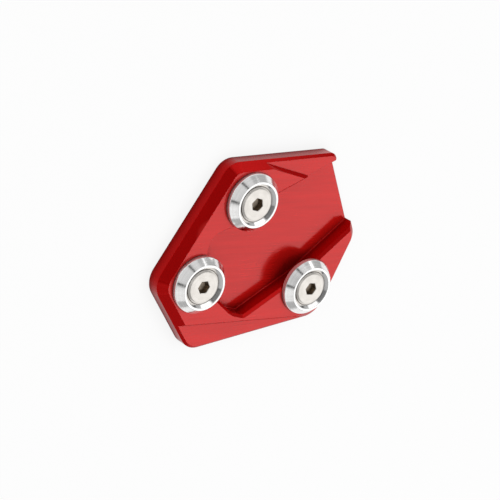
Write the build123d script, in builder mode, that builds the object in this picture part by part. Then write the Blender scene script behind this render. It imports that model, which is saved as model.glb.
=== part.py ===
"""Kickstand foot enlarger: a milled plate that widens the foot of a motorbike's side stand.

The stand's own foot lies in the open pocket. Three thick washers overlap the pocket's rim,
and three countersunk screws pull them down so that they clamp the foot.

Units are millimetres. The plate lies flat with its underside on Z = 0, the origin is under
the middle of the three screws, and +X runs from the left screw to the right screw.
"""

import os

from build123d import *

os.makedirs("parts", exist_ok=True)

# Screw pattern
lower_screw_span = 46.5
upper_screw_along = 13.25
upper_screw_across = 29.25

# Plate heights
plate_thickness = 8.0
pocket_depth = 5.6
step_drop = 1.85
step_lean = 30.0

# Plate edges
outer_bevel = 2.75
underside_chamfer = 0.6
pocket_chamfer = 0.95
floor_round = 0.4
mouth_edge_chamfer = 0.4

# Plate sides: distance from a screw's axis and heading in degrees, counter-clockwise
bottom_margin = 13.8
bottom_heading = 14.3
right_margin = 13.4
right_heading = 75.7
mouth_margin = 25.8
mouth_heading = 123.3
top_margin = 13.2
top_heading = 188.4
left_margin = 13.5
left_heading = 246.9
lower_left_margin = 13.3
lower_left_heading = 312.1

# Plate corner radii, each larger than the bevel so that the bevel runs round it
bottom_right_corner = 8.0
right_corner = 5.5
top_right_corner = 1.1 * outer_bevel
top_left_corner = 7.0
left_corner = 8.0
bottom_left_corner = 7.0

# Lowered lands: distance of the step's foot from a screw's axis and its heading
upper_step_margin = 13.3
upper_step_heading = 170.6
lower_step_margin = 15.75
lower_step_heading = 4.0

# Pocket walls: distance from a screw's axis and heading in degrees, clockwise
upper_wall_margin = 2.9
upper_wall_heading = 29.7
mouth_wall_heading = 226.0
long_wall_heading = 216.9
tail_wall_heading = 172.0
end_wall_margin = 0.9
end_wall_heading = 146.5
left_wall_margin = 1.4
left_wall_heading = 90.0
inner_wall_margin = 6.6
inner_wall_heading = 26.3
left_jog_heading = 118.0
upper_jog_heading = 70.0
screw_boss_radius = 5.05
long_wall_run = 0.5514 * lower_screw_span

# Pocket corner radii
bend_radius = 8.0
tail_corner = 1.4
end_radius = 10.0
jog_corner = 3.0
inner_corner = 5.0

# Clamp washers
washer_radius = 10.0
washer_wall_height = 1.5
washer_rim_width = 0.73
washer_edge_break = 0.15

# Countersunk M6 screws
screw_radius = 3.0
screw_length = 10.0
head_radius = 6.05
head_edge = 0.65
head_bevel_width = 0.7
head_bevel_drop = 0.5
head_recess = 0.5
head_dip = 0.3
socket_across_flats = 4.0
socket_depth = 2.4
socket_point_depth = 0.8
socket_point_taper = 60.0
screw_tip_chamfer = 0.6

# How far each socket was left turned: left, right and upper screw
socket_turns = (6.5, 1.5, 51.5)

# Clearances, and how far a cut runs past the plate
thread_clearance = 0.03
bore_clearance = 0.5
seat_clearance = 0.02
dip_clearance = 0.2
cut_overrun = 3.0

# Head and countersink share one 90 degree cone, which dips into the lead-in of the plate's hole
head_cone_height = head_radius - screw_radius
washer_height = head_recess + head_edge + head_cone_height - head_dip
hole_chamfer = head_dip + dip_clearance
sink_radius = head_radius + head_edge + head_recess + seat_clearance
washer_rim_radius = sink_radius + washer_rim_width
washer_bore_radius = screw_radius + bore_clearance
hole_radius = screw_radius + thread_clearance
socket_radius = socket_across_flats / 2

# Levels, and a cutter larger than the plate
land_level = plate_thickness
floor_level = plate_thickness - pocket_depth
lower_land_level = plate_thickness - step_drop
head_level = land_level + washer_height - head_recess
cut_reach = 4 * lower_screw_span

# Screw centres about the middle of the pattern
pattern_x = (lower_screw_span + upper_screw_along) / 3
pattern_y = upper_screw_across / 3
left_screw = Vector(-pattern_x, -pattern_y)
right_screw = Vector(lower_screw_span - pattern_x, -pattern_y)
upper_screw = Vector(upper_screw_along - pattern_x, upper_screw_across - pattern_y)
screw_points = [left_screw, right_screw, upper_screw]
places = ["left", "right", "upper"]


def compass(heading: float) -> Vector:
    """The direction of a heading in the plan."""
    return Vector(1, 0).rotate(Axis.Z, heading)


def line_past(screw: Vector, margin: float, heading: float) -> Axis:
    """A line along a heading that keeps a screw's axis on its left at a margin."""
    along = compass(heading)
    aside = along.rotate(Axis.Z, -90)
    return Axis(screw + aside * margin, along)


def corner(first: Axis, second: Axis) -> Vector:
    """The point where two lines in the plan cross."""
    turn = first.direction.cross(second.direction).Z
    run = (second.position - first.position).cross(second.direction).Z / turn
    return first.position + first.direction * run


def corners(lines: list[Axis]) -> list[Vector]:
    """The points where each line of a closed round meets the next one."""
    return [corner(line, lines[(i + 1) % len(lines)]) for i, line in enumerate(lines)]


# Plate sides in order, counter-clockwise
bottom_side = line_past(right_screw, bottom_margin, bottom_heading)
right_side = line_past(right_screw, right_margin, right_heading)
mouth_side = line_past(right_screw, mouth_margin, mouth_heading)
top_side = line_past(upper_screw, top_margin, top_heading)
left_side = line_past(left_screw, left_margin, left_heading)
lower_left_side = line_past(left_screw, lower_left_margin, lower_left_heading)
plate_points = corners([bottom_side, right_side, mouth_side, top_side, left_side, lower_left_side])
plate_radii = [
    bottom_right_corner,
    right_corner,
    top_right_corner,
    top_left_corner,
    left_corner,
    bottom_left_corner,
]

# Pocket walls in order, clockwise, closed by a line outside the mouth
inner_wall = line_past(upper_screw, inner_wall_margin, inner_wall_heading)
upper_jog = line_past(upper_screw, screw_boss_radius, upper_jog_heading)
upper_wall = line_past(upper_screw, upper_wall_margin, upper_wall_heading)
mouth_end = line_past(right_screw, mouth_margin + cut_overrun, mouth_heading)
mouth_wall = line_past(right_screw, screw_boss_radius, mouth_wall_heading)
long_wall = line_past(right_screw, screw_boss_radius, long_wall_heading)
tail_wall = Axis(long_wall.position + long_wall.direction * long_wall_run, compass(tail_wall_heading))
end_wall = line_past(left_screw, end_wall_margin, end_wall_heading)
left_jog = line_past(left_screw, screw_boss_radius, left_jog_heading)
left_wall = line_past(left_screw, left_wall_margin, left_wall_heading)
pocket_points = corners(
    [
        inner_wall,
        upper_jog,
        upper_wall,
        mouth_end,
        mouth_wall,
        long_wall,
        tail_wall,
        end_wall,
        left_jog,
        left_wall,
    ]
)
pocket_radii = [
    jog_corner,
    jog_corner,
    0,
    0,
    bend_radius,
    tail_corner,
    end_radius,
    bend_radius,
    jog_corner,
    inner_corner,
]

# Lowered lands lie outside these lines
upper_step = line_past(upper_screw, upper_step_margin, upper_step_heading)
lower_step = line_past(left_screw, lower_step_margin, lower_step_heading)


with BuildPart() as base_plate:
    # Blank with its bevelled rim
    with BuildSketch() as outline:
        with BuildLine():
            FilletPolyline(*plate_points, radius=plate_radii, close=True)
        make_face()
    extrude(amount=plate_thickness)
    chamfer(base_plate.faces().sort_by(Axis.Z)[-1].edges(), outer_bevel)
    chamfer(base_plate.faces().sort_by(Axis.Z)[0].edges(), underside_chamfer)

    # Pocket for the stand's foot, open at the mouth end
    with BuildSketch(Plane.XY.offset(floor_level)) as pocket:
        with BuildLine():
            FilletPolyline(*pocket_points, radius=pocket_radii, close=True)
        make_face()
    extrude(amount=pocket_depth + cut_overrun, mode=Mode.SUBTRACT)

    # Broken edge where the floor ends at the mouth, and a round along the foot of the walls
    rim = outline.sketch_local.face().outer_wire().moved(Location((0, 0, floor_level)))
    floor_edges = base_plate.edges().filter_by_position(Axis.Z, floor_level, floor_level)
    chamfer(floor_edges.filter_by(lambda e: rim.distance_to(e @ 0.5) < thread_clearance), mouth_edge_chamfer)
    floor_edges = base_plate.edges().filter_by_position(Axis.Z, floor_level, floor_level)
    fillet(floor_edges.filter_by(lambda e: rim.distance_to(e @ 0.5) > mouth_edge_chamfer), floor_round)

    # Bevel along the pocket's edge on the main land
    with BuildSketch(Plane.XY.offset(land_level - pocket_chamfer)):
        add(pocket.sketch_local)
    extrude(amount=pocket_chamfer, taper=-45, mode=Mode.SUBTRACT)

    # Lowered lands with leaning step faces
    for step in (upper_step, lower_step):
        with BuildSketch(Plane(step.position + Vector(0, 0, lower_land_level), step.direction)):
            Rectangle(cut_reach, cut_reach, align=(Align.CENTER, Align.MAX))
        extrude(amount=step_drop + cut_overrun, taper=-step_lean, mode=Mode.SUBTRACT)

    # Threaded holes for the screws, with a lead-in at both ends
    with BuildSketch():
        with Locations(*screw_points):
            Circle(hole_radius)
    extrude(amount=plate_thickness, mode=Mode.SUBTRACT)
    for level in (0, land_level):
        rims = base_plate.edges().filter_by(GeomType.CIRCLE).filter_by_position(Axis.Z, level, level)
        chamfer([rim for rim in rims if rim.is_closed], hole_chamfer)

base_plate.part.label = "base_plate"
export_step(base_plate.part, "parts/base_plate.step")


for place, point in zip(places, screw_points):
    with BuildPart() as clamp_washer:
        # Turned ring: low wall, cone, narrow flat rim and a countersink for the screw's head
        with BuildSketch(Plane(point + Vector(0, 0, land_level), (1, 0, 0), (0, -1, 0))):
            with BuildLine():
                Polyline(
                    (washer_bore_radius, 0),
                    (washer_radius, 0),
                    (washer_radius, washer_wall_height),
                    (washer_rim_radius, washer_height),
                    (sink_radius, washer_height),
                    (washer_bore_radius, washer_height - sink_radius + washer_bore_radius),
                    close=True,
                )
            make_face()
        revolve(axis=Axis(point, (0, 0, 1)))
        rims = clamp_washer.edges().filter_by(GeomType.CIRCLE).filter_by(lambda e: e.radius > head_radius)
        # The seat's edge, the lowest, stays sharp
        chamfer(rims.sort_by(Axis.Z)[1:], washer_edge_break)

    clamp_washer.part.label = f"clamp_washer_{place}"
    export_step(clamp_washer.part, f"parts/clamp_washer_{place}.step")


with BuildPart() as clamp_screws:
    for point, turn in zip(screw_points, socket_turns):
        # Countersunk head with a bevelled crown and plain shank, turned about the screw's axis
        head_plane = Plane(point + Vector(0, 0, head_level), (1, 0, 0), (0, -1, 0))
        with BuildSketch(head_plane):
            with BuildLine():
                Polyline(
                    (0, 0),
                    (head_radius - head_bevel_width, 0),
                    (head_radius, -head_bevel_drop),
                    (head_radius, -head_edge),
                    (screw_radius, -head_edge - head_cone_height),
                    (screw_radius, screw_tip_chamfer - screw_length),
                    (screw_radius - screw_tip_chamfer, -screw_length),
                    (0, -screw_length),
                    close=True,
                )
            make_face()
        revolve(axis=Axis(point, (0, 0, 1)))

        # Hexagon socket with a drilled point at its bottom
        with BuildSketch(Plane.XY.offset(head_level)):
            with Locations(point):
                RegularPolygon(socket_radius, 6, major_radius=False, rotation=turn)
        extrude(amount=-socket_depth, mode=Mode.SUBTRACT)
        with BuildSketch(Plane.XY.offset(head_level - socket_depth)):
            with Locations(point):
                Circle(socket_radius)
        extrude(amount=-socket_point_depth, taper=socket_point_taper, mode=Mode.SUBTRACT)

clamp_screws.part.label = "clamp_screws"
export_step(clamp_screws.part, "parts/clamp_screws.step")
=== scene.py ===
"""Kickstand foot enlarger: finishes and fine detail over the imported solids.

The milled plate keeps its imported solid. The clamp washers and the screws get finer turned
meshes that stand where their solids are, and each hole gets the thread that shows from below.
Sizes of pieces are millimetres in the part's own frame, and the meshes are made in metres.
Sizes in the finishes are metres, which is what the shaders read.
"""

import logging
import math
from dataclasses import dataclass, field
from enum import Enum

import bmesh
import bpy
from mathutils import Matrix, Vector
from mathutils.geometry import convex_hull_2d


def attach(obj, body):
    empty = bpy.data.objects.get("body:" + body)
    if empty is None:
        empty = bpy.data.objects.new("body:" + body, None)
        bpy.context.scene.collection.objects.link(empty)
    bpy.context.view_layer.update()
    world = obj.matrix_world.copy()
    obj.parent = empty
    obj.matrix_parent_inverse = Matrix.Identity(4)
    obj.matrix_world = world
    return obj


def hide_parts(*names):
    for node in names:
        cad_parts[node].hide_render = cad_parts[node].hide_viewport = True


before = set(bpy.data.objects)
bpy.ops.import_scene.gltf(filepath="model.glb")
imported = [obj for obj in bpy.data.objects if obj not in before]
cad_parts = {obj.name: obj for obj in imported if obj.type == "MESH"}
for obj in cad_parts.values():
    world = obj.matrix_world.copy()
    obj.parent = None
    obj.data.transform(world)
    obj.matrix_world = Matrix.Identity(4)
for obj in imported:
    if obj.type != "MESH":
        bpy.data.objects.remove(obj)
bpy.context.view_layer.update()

MM = 0.001
FULL_TURN = 2 * math.pi
PLATE_NODE = "base_plate"
RELIEF_DEPTH = 0.00002
THREAD_FLANK = 2.6
# Places of a Mix node's two inputs and its output, which share their names.
MIX_SOCKETS = {"RGBA": (6, 7, 2), "VECTOR": (4, 5, 1)}
LOG = logging.getLogger("foot_enlarger")

Colour = tuple[float, float, float, float]
Triple = tuple[float, float, float]
Point = tuple[float, float]
Ring = list[Vector]
Material = bpy.types.Material
Node = bpy.types.Node
Outputs = bpy.types.NodeOutputs
Piece = bpy.types.Object
Socket = bpy.types.NodeSocket
Tree = bpy.types.ShaderNodeTree
Feed = Socket | float | Colour | Triple
Span = tuple[Feed, Feed]


class Slot(Enum):
    """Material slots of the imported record."""

    RED = "red_anodised"
    ALUMINIUM = "turned_aluminium"
    STEEL = "screw_steel"


class Effect(Enum):
    """Surface effects that the finishes share."""

    EDGES = "edge_wear"
    RINGS = "turned_rings"
    MARKS = "handling_marks"
    LINES = "brushed_lines"
    CREVICE = "crevice_shade"


class Place(Enum):
    """The three clamping points: centre in the plan and how far the socket is turned."""

    LEFT = ("left", -19.9167, -9.75, 6.5)
    RIGHT = ("right", 26.5833, -9.75, 1.5)
    UPPER = ("upper", -6.6667, 19.5, 51.5)

    @property
    def label(self) -> str:
        """The place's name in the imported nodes."""
        return self.value[0]

    @property
    def centre(self) -> Vector:
        """The screw's axis on the ground, in metres."""
        return Vector((self.value[1], self.value[2], 0.0)) * MM

    @property
    def turn(self) -> float:
        """The socket's turn in radians."""
        return math.radians(self.value[3])


class Wiring:
    """Places and joins the nodes of one tree."""

    def __init__(self, tree: bpy.types.NodeTree) -> None:
        """Keeps the tree that the nodes go into."""
        self.tree = tree

    def node(self, kind: str, *feeds: Feed, **settings: object) -> Node:
        """Adds a node to the tree.

        Args:
            kind: Blender's name of the node's class.
            feeds: what goes into its first inputs, in order.
            settings: attributes to set on the node.

        Returns:
            The new node.
        """
        made = self.tree.nodes.new(kind)
        for name, value in settings.items():
            setattr(made, name, value)
        for socket, value in zip(made.inputs, feeds):
            self.feed(socket, value)
        return made

    def feed(self, socket: Socket, source: Feed) -> None:
        """Gives a socket its value.

        Args:
            socket: the input to set.
            source: an output to link, or a constant to write on the input itself.
        """
        if isinstance(source, Socket):
            self.tree.links.new(source, socket)
        else:
            socket.default_value = source

    def feed_all(self, node: Node, values: dict[str, Feed]) -> None:
        """Gives several inputs of a node their values.

        Args:
            node: the node.
            values: what goes into its inputs, by their names.
        """
        for name, value in values.items():
            self.feed(node.inputs[name], value)

    def math(self, operation: str, *values: Feed) -> Socket:
        """Returns what a Math node makes of its values."""
        return self.node("ShaderNodeMath", *values, operation=operation).outputs[0]

    def times(self, first: Feed, second: Feed) -> Socket:
        """Returns the product of two values."""
        return self.math("MULTIPLY", first, second)

    def remap(self, value: Feed, source: Span, target: Span = (0.0, 1.0)) -> Socket:
        """Maps a value smoothly from one range to another and holds it at the ends.

        Args:
            value: the value to map.
            source: the range that it comes from.
            target: the range that it goes to.

        Returns:
            The mapped value.
        """
        made = self.node("ShaderNodeMapRange", interpolation_type="SMOOTHSTEP")
        names = ("Value", "From Min", "From Max", "To Min", "To Max")
        self.feed_all(made, dict(zip(names, (value, *source, *target))))
        return made.outputs["Result"]

    def blend(
        self, factor: Feed, first: Feed, second: Feed, mode: str = "MIX", kind: str = "RGBA"
    ) -> Socket:
        """Mixes two colours or two vectors.

        Args:
            factor: how much of the second one shows.
            first: the one underneath.
            second: the one laid over it.
            mode: the blend mode of colours.
            kind: RGBA for colours or VECTOR for vectors.

        Returns:
            The mix.
        """
        under, over, mixed = MIX_SOCKETS[kind]
        made = self.node("ShaderNodeMix", factor, data_type=kind, blend_type=mode)
        self.feed(made.inputs[under], first)
        self.feed(made.inputs[over], second)
        return made.outputs[mixed]

    def noise(self, vector: Socket, scale: Feed, detail: float) -> Socket:
        """Adds a noise texture.

        Args:
            vector: the coordinates that it reads.
            scale: cells to the unit of those coordinates.
            detail: octaves of finer noise.

        Returns:
            The noise value, about 0 to 1.
        """
        made = self.node("ShaderNodeTexNoise")
        self.feed_all(made, {"Vector": vector, "Scale": scale, "Detail": detail})
        return made.outputs["Fac"]

    def combine(self, x: Feed, y: Feed, z: Feed = 0.0) -> Socket:
        """Returns the vector of three values."""
        return self.node("ShaderNodeCombineXYZ", x, y, z).outputs[0]

    def grey(self, value: Feed) -> Socket:
        """Returns the colour that has one value in all three channels."""
        return self.combine(value, value, value)

    def split(self, vector: Socket) -> Outputs:
        """Returns the three values of a vector."""
        return self.node("ShaderNodeSeparateXYZ", vector).outputs

    def place(self) -> Socket:
        """Returns the piece's own coordinates."""
        return self.node("ShaderNodeTexCoord").outputs["Object"]

    def normal(self) -> Socket:
        """Returns the surface's own normal."""
        return self.node("ShaderNodeNewGeometry").outputs["Normal"]

    def up(self) -> Socket:
        """Returns how far the surface faces up, from -1 to 1."""
        return self.split(self.normal())[2]


class EffectLibrary:
    """Builds each shared effect once, as a node group."""

    def __init__(self) -> None:
        """Builds every group."""
        self.trees: dict[Effect, Tree] = {}
        for build in (self._edges, self._rings, self._marks, self._lines, self._crevice):
            build()

    def _open(
        self, effect: Effect, inputs: list[str], outputs: list[str]
    ) -> tuple[Wiring, Outputs, bpy.types.NodeInputs]:
        """Starts a node group and keeps it.

        Args:
            effect: the effect that the group is for.
            inputs: names of the values that it reads.
            outputs: names of the masks that it makes.

        Returns:
            The group's nodes, the sockets of its inputs and those of its outputs.
        """
        tree = bpy.data.node_groups.new(effect.value, "ShaderNodeTree")
        self.trees[effect] = tree
        for way, names in (("INPUT", inputs), ("OUTPUT", outputs)):
            for name in names:
                tree.interface.new_socket(name, in_out=way, socket_type="NodeSocketFloat")
        net = Wiring(tree)
        return net, net.node("NodeGroupInput").outputs, net.node("NodeGroupOutput").inputs

    def _edges(self) -> None:
        """Edges with wear and a painted highlight: where the rounded normal leaves the true one.
        """
        turned_span = (0.995, 0.90)
        patch_span, patch_share = (0.30, 0.60), (0.35, 1.0)
        net, entry, leave = self._open(Effect.EDGES, ["Width", "Patch"], ["Edge"])
        rounded = net.node("ShaderNodeBevel", entry["Width"], samples=6)
        pair = (rounded.outputs[0], net.normal())
        dot = net.node("ShaderNodeVectorMath", *pair, operation="DOT_PRODUCT")
        turned = net.remap(dot.outputs["Value"], turned_span)
        patch = net.noise(net.place(), net.math("DIVIDE", 1.0, entry["Patch"]), detail=3.0)
        wear_and_highlight = net.times(turned, net.remap(patch, patch_span, patch_share))
        net.feed(leave["Edge"], wear_and_highlight)

    def _rings(self) -> None:
        """Turning marks about the piece's own axis, and sectors round it for painted reflection
        streaks.
        """
        band_scale, sector_scale, sector_rise = 0.22, 5.0, 60.0
        masks = ["Rings", "Bands", "Sectors"]
        net, entry, leave = self._open(Effect.RINGS, ["Pitch"], masks)
        x, y, z = net.split(net.place())
        squares = [net.math("POWER", value, 2.0) for value in (x, y)]
        radius = net.math("SQRT", net.math("ADD", *squares))
        turns = [net.math("DIVIDE", value, entry["Pitch"]) for value in (radius, z)]
        across = net.combine(*turns)
        net.feed(leave["Rings"], net.noise(across, scale=1.0, detail=1.0))
        net.feed(leave["Bands"], net.noise(across, band_scale, detail=1.0))
        angle = net.math("ARCTAN2", y, x)
        around = net.combine(
            net.math("COSINE", angle),
            net.math("SINE", angle),
            net.times(radius, sector_rise),
        )
        net.feed(leave["Sectors"], net.noise(around, sector_scale, detail=4.0))

    def _marks(self) -> None:
        """Smudges from handling and a fine grain."""
        smudge_span = (0.35, 0.70)
        sizes, masks = ["Size", "Speck"], ["Smudge", "Grain"]
        net, entry, leave = self._open(Effect.MARKS, sizes, masks)
        place = net.place()
        smudge = net.noise(place, net.math("DIVIDE", 1.0, entry["Size"]), detail=5.0)
        grain = net.noise(place, net.math("DIVIDE", 1.0, entry["Speck"]), detail=2.0)
        net.feed(leave["Smudge"], net.remap(smudge, smudge_span))
        net.feed(leave["Grain"], grain)

    def _lines(self) -> None:
        """Straight tool lines along one heading of the plan."""
        sizes = ["Heading", "Width", "Length"]
        net, entry, leave = self._open(Effect.LINES, sizes, ["Lines"])
        x, y, z = net.split(net.place())
        cosine = net.math("COSINE", entry["Heading"])
        sine = net.math("SINE", entry["Heading"])
        along = net.math("ADD", net.times(x, cosine), net.times(y, sine))
        aside = net.math("SUBTRACT", net.times(y, cosine), net.times(x, sine))
        drawn = net.combine(
            net.math("DIVIDE", along, entry["Length"]),
            net.math("DIVIDE", aside, entry["Width"]),
            net.math("DIVIDE", z, entry["Width"]),
        )
        net.feed(leave["Lines"], net.noise(drawn, scale=1.0, detail=3.0))

    def _crevice(self) -> None:
        """Corners and overhung places, where little of the room is open to the surface: the mask
        of painted shade.
        """
        closed_share = 0.50
        net, entry, leave = self._open(Effect.CREVICE, ["Reach", "Open"], ["Crevice"])
        near = net.node("ShaderNodeAmbientOcclusion", samples=10)
        net.feed(near.inputs["Distance"], entry["Reach"])
        closed = net.remap(near.outputs["AO"], (entry["Open"], closed_share))
        net.feed(leave["Crevice"], closed)


class Dressing(Wiring):
    """The nodes of one material, with its shader and the shared effects at hand."""

    def __init__(self, name: str, effects: EffectLibrary) -> None:
        """Starts the material.

        Args:
            name: the material's name.
            effects: the shared node groups.
        """
        self.material = bpy.data.materials.new(name)
        self.material.use_nodes = True
        super().__init__(self.material.node_tree)
        self.shader = self.tree.nodes["Principled BSDF"]
        self.effects = effects

    def put(self, effect: Effect, **values: Feed) -> Outputs:
        """Places a shared effect.

        Args:
            effect: the effect to place.
            values: the group's inputs by name.

        Returns:
            The group's outputs.
        """
        made = self.node("ShaderNodeGroup", node_tree=self.effects.trees[effect])
        self.feed_all(made, values)
        return made.outputs

    def edge(self, width: float, patch: float) -> Socket:
        """Returns the mask of edges with wear and a painted highlight, to a width, in patches of
        a size.
        """
        return self.put(Effect.EDGES, Width=width, Patch=patch)["Edge"]

    def corner(self, reach: float, open_share: Feed) -> Socket:
        """Returns the mask of corners, which the finishes paint shade with, by how far it looks
        and what share counts as open.
        """
        return self.put(Effect.CREVICE, Reach=reach, Open=open_share)["Crevice"]

    def relief(self, strength: float, height: Feed, normal: Feed | None = None) -> None:
        """Gives the shader its fine relief.

        Args:
            strength: how much the relief shows.
            height: the relief's height, about 0 to 1.
            normal: the normal that it stands on, if not the surface's own.
        """
        bump = self.node("ShaderNodeBump")
        self.feed_all(bump, {"Strength": strength, "Distance": RELIEF_DEPTH, "Height": height})
        if normal is not None:
            self.feed(bump.inputs["Normal"], normal)
        self.feed(self.shader.inputs["Normal"], bump.outputs[0])


@dataclass(frozen=True)
class PlateMasks:
    """What several parts of the plate's finish read from the surface."""

    up: Socket
    level: Socket
    inner: Socket
    corner: Socket
    hidden: Socket
    dark: Socket
    fine: Socket
    broad: Socket


@dataclass(frozen=True)
class RedAnodise:
    """Red dyed anodising over milled aluminium: brushed flats, bevels and walls in a darker red
    as painted shade, and painted shade in corners and the pocket.

    A line is the width and length of tool lines. A span says where a mask starts and where it
    is full.
    """

    flat: Colour = (0.70, 0.010, 0.008, 1.0)
    steep_painted_shade: Colour = (0.54, 0.0028, 0.0028, 1.0)
    wear_and_highlight: Colour = (0.76, 0.05, 0.045, 1.0)
    deep_painted_shade: Colour = (0.10, 0.002, 0.002, 1.0)
    heading: float = 5.0
    fine_line: Point = (0.00050, 0.012)
    fine_streak: float = 0.035
    broad_line: Point = (0.0022, 0.030)
    broad_streak: float = 0.06
    line_span: Point = (0.25, 0.75)
    smudge_size: float = 0.009
    grain_size: float = 0.00012
    grain_share: float = 0.3
    edge_width: float = 0.00018
    edge_patch: float = 0.003
    edge_wear: float = 0.12
    level_span: Point = (0.80, 0.97)
    upright_span: Point = (0.35, 0.15)
    underside_span: Point = (-0.95, -0.80)
    inner_edge: Triple = (-0.0175, 0.0065, 0.0080)
    inner_span: Point = (0.0080, 0.0065)
    inner_slope: Point = (0.55, 0.65)
    corner_reach: float = 0.0008
    corner_open: float = 0.90
    floor_span: Point = (0.0035, 0.0050)
    floor_shade: float = 0.58
    ground_span: Point = (0.0012, 0.0006)
    ground_shade: float = 0.85
    pocket_reach: float = 0.0080
    pocket_wall_open: float = 0.70
    pocket_floor_open: float = 0.61
    pocket_span: Point = (0.0078, 0.0068)
    pocket_shade: float = 0.70
    rough: float = 0.10
    level_rough: float = 0.10
    line_rough: float = 0.06
    smudge_rough: float = 0.05
    metal: float = 0.30
    coat: float = 0.9
    least_coat: float = 0.10
    coat_rough: float = 0.12
    coat_index: float = 1.5
    grazing_span: Point = (0.35, 0.70)
    dull_span: Point = (0.15, 0.50)
    edge_round: float = 0.00025
    inner_round: float = 0.00003
    sharp_span: Point = (0.05, 0.35)
    relief: float = 0.03

    def _masks(self, net: Dressing) -> PlateMasks:
        """Finds the level faces, and the corners and the pocket under the washers that take
        painted shade.

        Args:
            net: the material's nodes.

        Returns:
            The masks.
        """
        up = net.up()
        ends = (net.place(), self.inner_edge)
        away = net.node("ShaderNodeVectorMath", *ends, operation="DISTANCE")
        inner = net.remap(away.outputs["Value"], self.inner_span)
        # The pocket's inner bevel counts as level, so it takes the lit flat red.
        inner_bevel = net.times(inner, net.remap(up, self.inner_slope))
        level = net.remap(net.math("ABSOLUTE", up), self.level_span)
        level = net.math("MAXIMUM", level, inner_bevel)

        # Painted shade: corners near the pocket floor and near the ground, found by an occlusion
        # test.
        corner = net.corner(self.corner_reach, self.corner_open)
        floor_change = self.pocket_floor_open - self.pocket_wall_open
        open_share = net.math("MULTIPLY_ADD", level, floor_change, self.pocket_wall_open)
        # Painted shade in the pocket where the washers overhang it.
        overhung = net.corner(self.pocket_reach, open_share)
        height = net.split(net.place())[2]
        above_floor = net.remap(height, self.floor_span, (0.0, self.floor_shade))
        near_ground = net.remap(height, self.ground_span, (0.0, self.ground_shade))
        in_pocket = net.remap(height, self.pocket_span, (0.0, self.pocket_shade))
        either = net.math("MAXIMUM", above_floor, near_ground)
        shaded = net.times(corner, either)
        hidden = net.times(overhung, in_pocket)
        off_underside = net.remap(up, self.underside_span)
        # All the painted shade together, none on the underside.
        dark = net.times(net.math("MAXIMUM", shaded, hidden), off_underside)

        heading = math.radians(self.heading)
        fine, broad = (
            net.put(Effect.LINES, Heading=heading, Width=width, Length=length)["Lines"]
            for width, length in (self.fine_line, self.broad_line)
        )
        return PlateMasks(up, level, inner, corner, hidden, dark, fine, broad)

    def _colour(self, net: Dressing, masks: PlateMasks) -> Socket:
        """Mixes the red: streaked flats, plain bevels in a darker red as painted shade, edges
        lightened by wear and a painted highlight, and painted shade in corners.

        Args:
            net: the material's nodes.
            masks: what the surface is like.

        Returns:
            The colour.
        """
        pairs = ((masks.fine, self.fine_streak), (masks.broad, self.broad_streak))
        streaks = [net.remap(lines, self.line_span, (-most, most)) for lines, most in pairs]
        tone = net.math("MULTIPLY_ADD", net.math("ADD", *streaks), masks.level, 1.0)
        edge = net.edge(self.edge_width, self.edge_patch)
        # Steep faces take the darker red: painted shade on bevels and walls.
        colour = net.blend(masks.level, self.steep_painted_shade, self.flat)
        colour = net.blend(1.0, colour, net.grey(tone), "MULTIPLY")
        # Edges lighten: partly wear, partly a painted highlight.
        colour = net.blend(net.times(edge, self.edge_wear), colour, self.wear_and_highlight)
        # Painted shade in corners, in the pocket under the washers and near the ground.
        return net.blend(masks.dark, colour, self.deep_painted_shade)

    def _coating(self, net: Dressing, masks: PlateMasks) -> Socket:
        """Weighs the clear coat: full on level faces and on side faces seen at a slant.

        Args:
            net: the material's nodes.
            masks: what the surface is like.

        Returns:
            The coat's weight.
        """
        upright = net.remap(net.math("ABSOLUTE", masks.up), self.upright_span)
        slant = net.node("ShaderNodeLayerWeight").outputs["Facing"]
        grazing = net.remap(slant, self.grazing_span)
        gloss = net.math("ADD", masks.level, net.times(upright, grazing))
        clear = net.remap(masks.hidden, self.dull_span, (1.0, 0.0))
        gloss = net.times(gloss, clear)
        return net.math("MULTIPLY_ADD", gloss, self.coat - self.least_coat, self.least_coat)

    def _eased_normal(self, net: Dressing, masks: PlateMasks) -> Socket:
        """Rounds the outer edges, less at the pocket's inner edge and not at all in corners.

        Args:
            net: the material's nodes.
            masks: what the surface is like.

        Returns:
            The normal.
        """
        change = self.inner_round - self.edge_round
        radius = net.math("MULTIPLY_ADD", masks.inner, change, self.edge_round)
        rounded = net.node("ShaderNodeBevel", radius, samples=8).outputs[0]
        sharp = net.remap(masks.corner, self.sharp_span)
        return net.blend(sharp, rounded, net.normal(), kind="VECTOR")

    def material(self, effects: EffectLibrary) -> Material:
        """Builds the finish.

        Args:
            effects: the shared node groups.

        Returns:
            The material.
        """
        net = Dressing("red_anodise", effects)
        masks = self._masks(net)
        marks = net.put(Effect.MARKS, Size=self.smudge_size, Speck=self.grain_size)
        lined = net.math("MULTIPLY_ADD", masks.fine, self.line_rough, self.level_rough)
        rough = net.math("MULTIPLY_ADD", masks.level, lined, self.rough)
        rough = net.math("MULTIPLY_ADD", marks["Smudge"], self.smudge_rough, rough)
        net.feed_all(net.shader, {
            "Base Color": self._colour(net, masks),
            "Roughness": rough,
            "Metallic": self.metal,
            "Specular IOR Level": 0.0,
            "Coat Weight": self._coating(net, masks),
            "Coat Roughness": self.coat_rough,
            "Coat IOR": self.coat_index,
        })
        grain = net.times(marks["Grain"], self.grain_share)
        grooves = net.math("MULTIPLY_ADD", masks.fine, masks.level, grain)
        net.relief(self.relief, grooves, self._eased_normal(net, masks))
        return net.material


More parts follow.
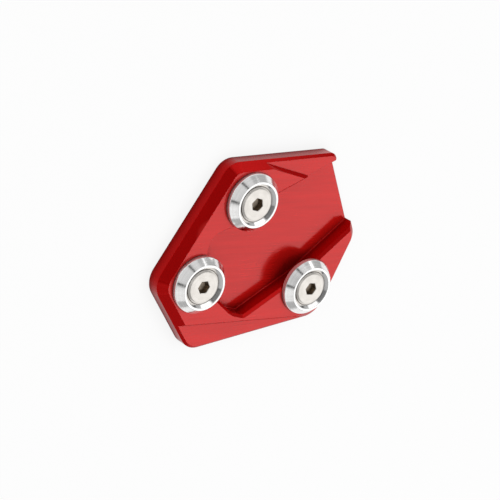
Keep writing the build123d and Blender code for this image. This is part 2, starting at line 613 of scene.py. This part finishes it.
@dataclass(frozen=True)
class TurnedAluminium:
    """Bare metal off the lathe, with fine rings, soft radial glints, darker sectors as painted
    reflection streaks and painted shade in corners.
    """

    name: str = "turned_aluminium"
    body: Colour = (0.93, 0.925, 0.92, 1.0)
    shade: Colour = (0.78, 0.77, 0.76, 1.0)
    bright: Colour = (0.97, 0.965, 0.96, 1.0)
    deep_painted_shade: Colour = (0.22, 0.20, 0.19, 1.0)
    ring_pitch: float = 0.00016
    ring_span: Point = (0.3, 0.7)
    ring_rough: Point = (0.10, 0.16)
    band_span: Point = (0.40, 0.70)
    band_shade: float = 0.35
    sector_span: Point = (0.45, 0.75)
    sector_shade: float = 0.5
    smudge_size: float = 0.005
    smudge_shade: float = 0.0
    smudge_rough: float = 0.06
    grain_size: float = 0.00010
    grain_share: float = 0.0
    edge_width: float = 0.00020
    edge_patch: float = 0.002
    edge_wear: float = 0.8
    corner_reach: float = 0.0022
    corner_open: float = 0.84
    corner_shade: float = 0.8
    wall_span: Point = (0.40, 0.15)
    wall_metal: float = 0.65
    anisotropy: float = 0.5
    relief: float = 0.12

    def material(self, effects: EffectLibrary) -> Material:
        """Builds the finish.

        Args:
            effects: the shared node groups.

        Returns:
            The material.
        """
        net = Dressing(self.name, effects)
        rings = net.put(Effect.RINGS, Pitch=self.ring_pitch)
        marks = net.put(Effect.MARKS, Size=self.smudge_size, Speck=self.grain_size)
        smudge = marks["Smudge"]
        edge = net.edge(self.edge_width, self.edge_patch)
        corner = net.corner(self.corner_reach, self.corner_open)
        layers = (
            (net.times(smudge, self.smudge_shade), self.shade),
            (net.remap(rings["Bands"], self.band_span, (0.0, self.band_shade)), self.shade),
            # Darker sectors round the axis: painted reflection streaks.
            (net.remap(rings["Sectors"], self.sector_span, (0.0, self.sector_shade)), self.shade),
            # Edges lighten to the bright tone: partly wear, partly a painted highlight.
            (net.times(edge, self.edge_wear), self.bright),
            # Painted shade in corners.
            (net.times(corner, self.corner_shade), self.deep_painted_shade),
        )
        colour: Feed = self.body
        for share, over in layers:
            colour = net.blend(share, colour, over)
        wall = net.remap(net.math("ABSOLUTE", net.up()), self.wall_span)
        rough = net.remap(rings["Rings"], self.ring_span, self.ring_rough)
        tangent = net.node("ShaderNodeTangent", direction_type="RADIAL", axis="Z")
        net.feed_all(net.shader, {
            "Base Color": colour,
            "Metallic": net.math("MULTIPLY_ADD", wall, self.wall_metal - 1.0, 1.0),
            "Roughness": net.math("MULTIPLY_ADD", smudge, self.smudge_rough, rough),
            "Anisotropic": self.anisotropy,
            "Tangent": tangent.outputs[0],
        })
        grooves = net.math("MULTIPLY_ADD", marks["Grain"], self.grain_share, rings["Rings"])
        net.relief(self.relief, grooves)
        return net.material


@dataclass(frozen=True)
class ScrewSteel(TurnedAluminium):
    """Pale satin steel of the screws: smudged and grained, with no radial glints."""

    name: str = "screw_steel"
    body: Colour = (0.74, 0.707, 0.667, 1.0)
    shade: Colour = (0.61, 0.58, 0.54, 1.0)
    bright: Colour = (0.95, 0.92, 0.88, 1.0)
    deep_painted_shade: Colour = (0.16, 0.13, 0.11, 1.0)
    ring_pitch: float = 0.00012
    ring_rough: Point = (0.22, 0.36)
    sector_shade: float = 0.0
    smudge_size: float = 0.003
    smudge_shade: float = 0.5
    grain_size: float = 0.00009
    grain_share: float = 1.0
    edge_width: float = 0.00014
    edge_wear: float = 0.5
    corner_reach: float = 0.0006
    corner_open: float = 0.80
    corner_shade: float = 0.7
    wall_metal: float = 1.0
    anisotropy: float = 0.0
    relief: float = 0.10


@dataclass(frozen=True)
class SocketSteel(ScrewSteel):
    """The same steel in a darker colour inside the sockets, as painted shade."""

    name: str = "socket_steel_painted_shade"
    body: Colour = (0.42, 0.36, 0.29, 1.0)
    shade: Colour = (0.24, 0.19, 0.15, 1.0)
    bright: Colour = (0.60, 0.54, 0.47, 1.0)
    ring_rough: Point = (0.25, 0.40)


@dataclass
class RingStack:
    """A skin drawn over rings of points, all with the same count, from first to last."""

    name: str
    rings: list[Ring] = field(default_factory=list)
    marked: set[int] = field(default_factory=set)
    closed: bool = False
    sharp: float = 32.0

    def add(self, ring: Ring, mark: bool = False) -> None:
        """Adds a ring.

        Args:
            ring: its points, in metres.
            mark: whether the strip up to this ring takes the second material.
        """
        if mark:
            self.marked.add(len(self.rings) - 1)
        self.rings.append(ring)

    def _faces(self) -> tuple[list[tuple[int, ...]], list[bool]]:
        """Joins each ring to the next and caps the ends of an open stack.

        Returns:
            The faces, and whether each takes the second material.
        """
        count = len(self.rings[0])
        strips = len(self.rings) if self.closed else len(self.rings) - 1
        faces: list[tuple[int, ...]] = []
        second: list[bool] = []
        for strip in range(strips):
            here = strip * count
            there = ((strip + 1) % len(self.rings)) * count
            for step in range(count):
                after = (step + 1) % count
                faces.append((here + step, here + after, there + after, there + step))
                second.append(strip in self.marked)
        if not self.closed:
            top = strips * count
            faces += [tuple(reversed(range(count))), tuple(range(top, top + count))]
            second += [0 in self.marked, strips - 1 in self.marked]
        return faces, second

    def skin(self, centre: Vector) -> Piece:
        """Makes the mesh.

        Args:
            centre: where the piece's own axis stands.

        Returns:
            The piece, linked to the scene.
        """
        faces, second = self._faces()
        mesh = bpy.data.meshes.new(self.name)
        mesh.from_pydata([point for ring in self.rings for point in ring], [], faces)
        for polygon, marked in zip(mesh.polygons, second):
            polygon.use_smooth = True
            polygon.material_index = int(marked)
        whole = bmesh.new()
        whole.from_mesh(mesh)
        bmesh.ops.recalc_face_normals(whole, faces=whole.faces)
        whole.to_mesh(mesh)
        whole.free()
        mesh.set_sharp_from_angle(angle=math.radians(self.sharp))
        piece = bpy.data.objects.new(self.name, mesh)
        piece.location = centre
        bpy.context.scene.collection.objects.link(piece)
        weighted = piece.modifiers.new("even_shading", "WEIGHTED_NORMAL")
        weighted.keep_sharp = True
        weighted.weight = 100
        return piece


def polar_ring(reaches: list[float], height: float, turn: float = 0.0) -> Ring:
    """Spreads points evenly round the piece's own axis.

    Args:
        reaches: each point's distance from the axis, in millimetres.
        height: in millimetres.
        turn: heading of the first point, in radians.

    Returns:
        The ring, in metres.
    """
    ring = []
    for index, reach in enumerate(reaches):
        heading = FULL_TURN * index / len(reaches) + turn
        ring.append(Vector((reach * math.cos(heading), reach * math.sin(heading), height)) * MM)
    return ring


def circle(radius: float, height: float, count: int, turn: float = 0.0) -> Ring:
    """Returns a ring of one radius, in metres; sizes are millimetres and the turn radians."""
    return polar_ring([radius] * count, height, turn)


def thread_form(height: float, pitch: float, count: int) -> list[float]:
    """Returns a thread's form round the axis: 0 between its turns and 1 at their middle."""
    phases = [(height / pitch - index / count) % 1.0 for index in range(count)]
    return [max(0.0, 1.0 - abs(phase - 0.5) * THREAD_FLANK) for phase in phases]


def eased(profile: list[Triple], steps: int = 4, closed: bool = False) -> list[Point]:
    """Rounds the corners of a turned profile.

    Args:
        profile: radius, height and corner round of each point, in millimetres.
        steps: how many points each round gets, less one.
        closed: whether the last point joins the first.

    Returns:
        The profile's points, with each round as a short arc.
    """
    made: list[Point] = []
    last = len(profile) - 1
    for index, (radius, height, round_size) in enumerate(profile):
        at_end = not closed and index in (0, last)
        if at_end or round_size <= 0:
            made.append((radius, height))
            continue
        here = Vector((radius, height))
        before = (Vector(profile[index - 1][:2]) - here).normalized()
        after = (Vector(profile[(index + 1) % len(profile)][:2]) - here).normalized()
        start = here + before * round_size
        end = here + after * round_size
        for step in range(steps + 1):
            part = step / steps
            point = start * (1 - part) ** 2 + here * 2 * part * (1 - part) + end * part**2
            made.append((point.x, point.y))
    return made


@dataclass
class BasePlate:
    """The milled plate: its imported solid, shaded smooth and dressed."""

    join: float = 0.00001
    sharp: float = 13.0

    def _smooth_group(self) -> bpy.types.GeometryNodeTree:
        """Shades faces smooth and keeps edges past the sharp angle.

        Returns:
            The group.
        """
        tree = bpy.data.node_groups.new("smooth_rounds", "GeometryNodeTree")
        for way in ("INPUT", "OUTPUT"):
            tree.interface.new_socket("Geometry", in_out=way, socket_type="NodeSocketGeometry")
        net = Wiring(tree)
        entry = net.node("NodeGroupInput").outputs[0]
        leave = net.node("NodeGroupOutput").inputs[0]
        angle = net.node("GeometryNodeInputMeshEdgeAngle").outputs["Unsigned Angle"]
        pair = (angle, math.radians(self.sharp))
        past = net.node("FunctionNodeCompare", *pair, operation="GREATER_THAN").outputs[0]
        faces = net.node("GeometryNodeSetShadeSmooth", domain="FACE")
        net.feed_all(faces, {"Geometry": entry, "Shade Smooth": True})
        edges = net.node("GeometryNodeSetShadeSmooth", faces.outputs[0], past, domain="EDGE")
        net.feed(edges.inputs["Shade Smooth"], False)
        net.feed(leave, edges.outputs[0])
        return tree

    def dress(self, finish: Material) -> Piece:
        """Gives the solid its finish and evens the shading of its rounds.

        Args:
            finish: the red anodising.

        Returns:
            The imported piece.
        """
        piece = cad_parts[PLATE_NODE]
        piece.data.materials.clear()
        piece.data.materials.append(finish)
        weld = piece.modifiers.new("joined_faces", "WELD")
        weld.merge_threshold = self.join * MM
        smooth = piece.modifiers.new("smooth_rounds", "NODES")
        smooth.node_group = self._smooth_group()
        weighted = piece.modifiers.new("even_shading", "WEIGHTED_NORMAL")
        weighted.keep_sharp = True
        return piece


@dataclass
class ClampWasher:
    """A thick turned washer: low wall, cone, narrow rim and a countersink."""

    place: Place
    foot: float = 8.0
    radius: float = 10.0
    wall: float = 1.5
    height: float = 3.9
    rim_radius: float = 7.95
    sink_radius: float = 7.22
    bore_radius: float = 3.5
    edge: float = 0.12
    cone_edge: float = 0.22
    segments: int = 192

    def build(self, finish: Material) -> Piece:
        """Turns the washer and puts it in its solid's place.

        Args:
            finish: the turned aluminium.

        Returns:
            The piece.
        """
        sink_foot = self.height - self.sink_radius + self.bore_radius
        corners = [
            (self.bore_radius, 0.0, 0.0),
            (self.radius, 0.0, self.edge),
            (self.radius, self.wall, self.cone_edge),
            (self.rim_radius, self.height, self.edge),
            (self.sink_radius, self.height, self.edge),
            (self.bore_radius, sink_foot, 0.0),
        ]
        node = f"clamp_washer_{self.place.label}"
        stack = RingStack(f"turned_washer_{self.place.label}", closed=True)
        for radius, height in eased(corners, closed=True):
            stack.add(circle(radius, height + self.foot, self.segments))
        piece = stack.skin(self.place.centre)
        piece.data.materials.append(finish)
        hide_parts(node)
        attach(piece, "root")
        return piece


@dataclass
class ClampScrew:
    """A countersunk socket screw with a cut thread below its head.

    Heights in its methods are below the top of the head, so they are negative.
    """

    place: Place
    head_level: float = 11.4
    head_radius: float = 6.05
    head_edge: float = 0.65
    bevel_width: float = 0.7
    bevel_drop: float = 0.5
    head_round: float = 0.12
    neck_round: float = 0.2
    radius: float = 3.0
    length: float = 10.0
    tip: float = 0.6
    pitch: float = 1.0
    thread_depth: float = 0.5
    thread_top: float = -4.2
    thread_fade: float = 0.8
    thread_levels: int = 60
    flats: float = 4.0
    socket_lead: float = 0.14
    socket_land: float = 1.0
    socket_depth: float = 2.4
    point_depth: float = 0.8
    point_share: float = 0.98
    pinhole: float = 0.02
    segments: int = 192

    def _hexagon(self, half_flats: float, height: float) -> Ring:
        """A hexagon turned as the socket is.

        Args:
            half_flats: distance from the axis to a flat, in millimetres.
            height: in millimetres.

        Returns:
            The ring, in metres.
        """
        sixth = FULL_TURN / 6
        angles = [FULL_TURN * index / self.segments for index in range(self.segments)]
        reaches = [half_flats / math.cos(angle % sixth - sixth / 2) for angle in angles]
        return polar_ring(reaches, self.head_level + height, self.place.turn)

    def _round(self, radius: float, height: float) -> Ring:
        """Returns a circle whose points start where the socket's do."""
        return circle(radius, self.head_level + height, self.segments, self.place.turn)

    def _thread(self, height: float) -> Ring:
        """One level of the cut thread.

        Args:
            height: in millimetres.

        Returns:
            The ring, in metres.
        """
        fade = min(1.0, max(0.0, (self.thread_top - height) / self.thread_fade))
        widest = self.radius - self.tip + height + self.length
        grooves = thread_form(height, self.pitch, self.segments)
        cuts = [self.radius - self.thread_depth * groove * fade for groove in grooves]
        reaches = [min(cut, widest) for cut in cuts]
        return polar_ring(reaches, self.head_level + height, self.place.turn)

    def _add_socket(self, stack: RingStack) -> None:
        """Adds the drilled point, the hexagon and its lead-in, from the bottom up.

        Args:
            stack: the screw's rings.
        """
        half = self.flats / 2
        floor = -self.socket_depth
        stack.add(self._round(self.pinhole, floor - self.point_depth))
        stack.add(self._round(half / 2, floor - self.point_depth / 2), mark=True)
        stack.add(self._round(half * self.point_share, floor), mark=True)
        for height in (floor, floor / 2, -self.socket_lead):
            stack.add(self._hexagon(half, height), mark=True)
        stack.add(self._hexagon(half + self.socket_lead, 0.0))
        stack.add(self._round(half + self.socket_land, 0.0))

    def _add_head(self, stack: RingStack) -> None:
        """Adds the head's bevelled edge, its cone and the neck, from the top down.

        Args:
            stack: the screw's rings.
        """
        cone_foot = -self.head_edge - self.head_radius + self.radius
        corners = [
            (self.head_radius - 2 * self.bevel_width, 0.0, 0.0),
            (self.head_radius - self.bevel_width, 0.0, self.head_round),
            (self.head_radius, -self.bevel_drop, self.head_round / 2),
            (self.head_radius, -self.head_edge, self.head_round / 2),
            (self.radius, cone_foot, self.neck_round),
            (self.radius, self.thread_top, 0.0),
        ]
        for radius, height in eased(corners):
            stack.add(self._round(radius, height))

    def build(self, steel: Material, socket_shade_steel: Material) -> Piece:
        """Makes the screw and puts it in its solid's place.

        Args:
            steel: the finish of the head and shank.
            socket_shade_steel: the finish inside the socket, darkened as painted shade.

        Returns:
            The piece.
        """
        stack = RingStack(f"socket_screw_{self.place.label}")
        self._add_socket(stack)
        self._add_head(stack)
        run = self.length + self.thread_top
        for level in range(1, self.thread_levels + 1):
            stack.add(self._thread(self.thread_top - run * level / self.thread_levels))
        stack.add(self._round(self.pinhole, -self.length))
        piece = stack.skin(self.place.centre)
        piece.data.materials.append(steel)
        piece.data.materials.append(socket_shade_steel)
        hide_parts("clamp_screws")
        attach(piece, "root")
        return piece


@dataclass
class HoleThread:
    """The thread seen from below in the plate's hole, between the screw's tip and the lead-in."""

    place: Place
    root_radius: float = 3.02
    back_radius: float = 3.10
    depth: float = 0.42
    pitch: float = 1.0
    bottom: float = 0.55
    top: float = 1.35
    segments: int = 128
    levels: int = 16

    def _level(self, height: float) -> Ring:
        """Returns one level of the ridge, at a height in millimetres."""
        ridges = thread_form(height, self.pitch, self.segments)
        return polar_ring([self.root_radius - self.depth * ridge for ridge in ridges], height)

    def build(self, finish: Material) -> Piece:
        """Makes the ridge and sets it in the hole.

        Args:
            finish: the red anodising.

        Returns:
            The piece.
        """
        stack = RingStack(f"hole_thread_{self.place.label}", closed=True)
        stack.add(circle(self.back_radius, self.top, self.segments))
        stack.add(circle(self.back_radius, self.bottom, self.segments))
        for level in range(self.levels + 1):
            part = level / self.levels
            stack.add(self._level(self.bottom + (self.top - self.bottom) * part))
        piece = stack.skin(self.place.centre)
        piece.data.materials.append(finish)
        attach(piece, "root")
        return piece


@dataclass(frozen=True)
class RoomPanel:
    """A panel of the room, lighter or darker than the rest.

    Heading and height of its middle, half sizes and soft edge are degrees. The slope is how
    much the panel climbs with its heading.
    """

    heading: float
    height: float
    half_width: float
    half_height: float
    soft: float
    level: float
    slope: float = 0.0

    def _within(self, net: Wiring, offset: Feed, half_size: float) -> Socket:
        """Builds a band with soft edges about the panel's middle.

        Args:
            net: the room's nodes.
            offset: angle from the middle, in radians.
            half_size: half of the band's size, in degrees.

        Returns:
            The mask, 1 inside the band.
        """
        outer = math.radians(half_size + self.soft)
        inner = math.radians(half_size - self.soft)
        return net.remap(net.math("ABSOLUTE", offset), (outer, inner))

    def inside(self, net: Wiring, heading: Feed, height: Feed) -> Socket:
        """Builds the panel's mask.

        Args:
            net: the room's nodes.
            heading: heading of the direction looked at, in radians.
            height: its height, in radians.

        Returns:
            The mask, 1 inside the panel.
        """
        turned = net.math("SUBTRACT", heading, math.radians(self.heading))
        off = net.math("WRAP", turned, math.pi, -math.pi)
        middle = net.math("MULTIPLY_ADD", off, self.slope, math.radians(self.height))
        above = net.math("SUBTRACT", height, middle)
        across = self._within(net, off, self.half_width)
        upright = self._within(net, above, self.half_height)
        return net.times(across, upright)


@dataclass
class Studio:
    """Pale floor, soft lamp, grey room and the camera.

    The axes of the camera are its right, its up and its back. A later panel lies over the
    earlier ones.
    """

    effects: EffectLibrary
    floor_radius: float = 3.0
    floor_drop: float = 0.02
    floor_opening: float = 0.985
    ground_band: float = 0.01
    floor_dark: Colour = (0.84, 0.84, 0.84, 1.0)
    floor_light: Colour = (0.88, 0.88, 0.88, 1.0)
    floor_grain: float = 400.0
    floor_rough: float = 0.8
    floor_specular: float = 0.1
    floor_white: float = 0.95
    floor_shade: float = 0.93
    floor_gloss_shade: float = 0.26
    shade_reach: float = 0.020
    shade_span: Point = (0.45, 0.97)
    eye: Triple = (-341.2228, 142.9489, 396.4435)
    right: Triple = (0.772314, 0.246201, 0.585591)
    up: Triple = (-0.025121, 0.932956, -0.359114)
    back: Triple = (-0.634745, 0.262638, 0.726719)
    lens: float = 115.948
    sensor: float = 36.0
    nearest: float = 0.01
    key_toward: Triple = (0.635, -0.263, 0.727)
    key_distance: float = 0.9
    key_size: float = 1.2
    key_power: float = 3.7
    room: float = 0.45
    panels: tuple[RoomPanel, ...] = (
        # Pale bands that the washers' cones mirror.
        RoomPanel(141.0, 26.0, 52.0, 11.0, 4.0, 0.70),
        RoomPanel(227.0, 23.2, 25.0, 5.0, 2.5, 0.98, -0.36),
        RoomPanel(84.0, 31.0, 25.5, 4.5, 1.5, 1.6, 0.39),
        # The top bevel mirrors this one.
        RoomPanel(65.2, 19.2, 6.7, 3.2, 1.5, 1.7),
        # Overhead, pale above and dark below, where the left bevels mirror it.
        RoomPanel(165.0, 64.0, 45.0, 10.0, 3.0, 0.80),
        RoomPanel(155.0, 45.0, 40.0, 6.5, 3.0, 0.17),
        # Narrow strips that draw dark lines on the cones.
        RoomPanel(120.6, 34.0, 4.0, 8.0, 2.0, 0.05),
        RoomPanel(192.7, 34.0, 4.0, 8.0, 2.0, 0.05),
        # Dark low strip behind the part, for its far edges.
        RoomPanel(340.0, 6.0, 55.0, 7.0, 3.0, 0.04),
    )

    def _floor_mesh(self) -> bpy.types.Mesh:
        """Makes a wide ring that is open under the plate, so that the underside shows.

        Returns:
            The mesh.
        """
        points = [point.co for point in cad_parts[PLATE_NODE].data.vertices]
        foot = [point.to_2d() for point in points if point.z < self.ground_band * MM]
        outline = [foot[index] for index in convex_hull_2d(foot)]
        middle = sum(outline, Vector((0.0, 0.0))) / len(outline)
        spokes = [point - middle for point in outline]
        inner = [(middle + spoke * self.floor_opening).to_3d() for spoke in spokes]
        outer = [spoke.normalized().to_3d() * self.floor_radius for spoke in spokes]
        count = len(outline)
        faces = [(i, count + i, count + (i + 1) % count, (i + 1) % count) for i in range(count)]
        mesh = bpy.data.meshes.new("studio_floor")
        mesh.from_pydata(inner + outer, [], faces)
        return mesh

    def _floor_finish(self) -> Material:
        """Builds the pale floor, which is near white to the eye and in mirror images, with a
        painted contact shadow that is deeper in mirror images.

        Returns:
            The material.
        """
        net = Dressing("pale_floor", self.effects)
        grain = net.noise(net.place(), self.floor_grain, detail=3.0)
        net.feed_all(net.shader, {
            "Base Color": net.blend(grain, self.floor_dark, self.floor_light),
            "Roughness": self.floor_rough,
            "Specular IOR Level": self.floor_specular,
        })
        path = net.node("ShaderNodeLightPath").outputs
        glossy = path["Is Glossy Ray"]
        seen = net.math("MAXIMUM", path["Is Camera Ray"], glossy)
        seen = net.math("MAXIMUM", seen, path["Is Transmission Ray"])
        # Painted contact shadow: the white darkens where the part closes off the room nearby.
        near = net.node("ShaderNodeAmbientOcclusion", samples=12)
        net.feed(near.inputs["Distance"], self.shade_reach)
        open_share = near.outputs["AO"]
        soft = net.remap(open_share, self.shade_span, (self.floor_shade, 1.0))
        # Mirror rays see a deeper painted shadow than the eye does.
        deep_painted_shade = net.remap(open_share, self.shade_span, (self.floor_gloss_shade, 1.0))
        change = net.math("SUBTRACT", deep_painted_shade, soft)
        level = net.math("MULTIPLY_ADD", glossy, change, soft)
        white = net.node("ShaderNodeEmission", net.grey(level)).outputs[0]
        share = net.times(seen, self.floor_white)
        mix = net.node("ShaderNodeMixShader", share, net.shader.outputs[0], white)
        net.feed(net.tree.nodes["Material Output"].inputs["Surface"], mix.outputs[0])
        return net.material

    def floor(self) -> None:
        """Lays the floor."""
        mesh = self._floor_mesh()
        mesh.materials.append(self._floor_finish())
        piece = bpy.data.objects.new("studio_floor", mesh)
        piece.location.z = -self.floor_drop * MM
        bpy.context.scene.collection.objects.link(piece)

    def key_lamp(self) -> None:
        """Hangs the softbox that the level faces mirror to the camera."""
        toward = Vector(self.key_toward)
        data = bpy.data.lights.new("key_softbox", "AREA")
        data.shape = "SQUARE"
        data.size = self.key_size
        data.energy = self.key_power
        piece = bpy.data.objects.new("key_softbox", data)
        piece.location = toward.normalized() * self.key_distance
        piece.rotation_euler = toward.to_track_quat("Z", "Y").to_euler()
        bpy.context.scene.collection.objects.link(piece)

    def world(self) -> None:
        """Paints the room: grey all round, with darker and lighter panels."""
        world = bpy.data.worlds.new("studio_room")
        world.use_nodes = True
        bpy.context.scene.world = world
        net = Wiring(world.node_tree)
        toward = net.node("ShaderNodeTexCoord").outputs["Generated"]
        x, y, z = net.split(toward)
        heading = net.math("ARCTAN2", y, x)
        height = net.math("ARCSINE", z)
        level: Feed = self.room
        for panel in self.panels:
            inside = panel.inside(net, heading, height)
            change = net.math("SUBTRACT", panel.level, level)
            level = net.math("MULTIPLY_ADD", inside, change, level)
        background = world.node_tree.nodes["Background"]
        net.feed(background.inputs["Color"], net.grey(level))

    def camera(self) -> None:
        """Sets the camera up."""
        data = bpy.data.cameras.new("studio_camera")
        data.lens = self.lens
        data.sensor_width = self.sensor
        data.clip_start = self.nearest
        piece = bpy.data.objects.new("studio_camera", data)
        axes = Matrix((self.right, self.up, self.back)).transposed().to_4x4()
        piece.matrix_world = Matrix.Translation(Vector(self.eye) * MM) @ axes
        bpy.context.scene.collection.objects.link(piece)
        bpy.context.scene.camera = piece

    def build(self) -> None:
        """Sets the whole studio up."""
        self.floor()
        self.key_lamp()
        self.world()
        self.camera()
        bpy.context.scene.view_settings.view_transform = "Standard"


def main() -> None:
    """Builds the part's pieces in order and sets the studio round them."""
    logging.basicConfig(level=logging.INFO, format="%(name)s: %(message)s")
    effects = EffectLibrary()
    red = RedAnodise().material(effects)
    aluminium = TurnedAluminium().material(effects)
    steel = ScrewSteel().material(effects)
    socket_shade_steel = SocketSteel().material(effects)

    plate = BasePlate().dress(red)
    LOG.info("%s dressed, %d faces", plate.name, len(plate.data.polygons))
    for place in Place:
        washer = ClampWasher(place).build(aluminium)
        screw = ClampScrew(place).build(steel, socket_shade_steel)
        thread = HoleThread(place).build(red)
        for piece in (washer, screw, thread):
            LOG.info("%s built, %d faces", piece.name, len(piece.data.polygons))
    Studio(effects).build()


if __name__ == "__main__":
    main()
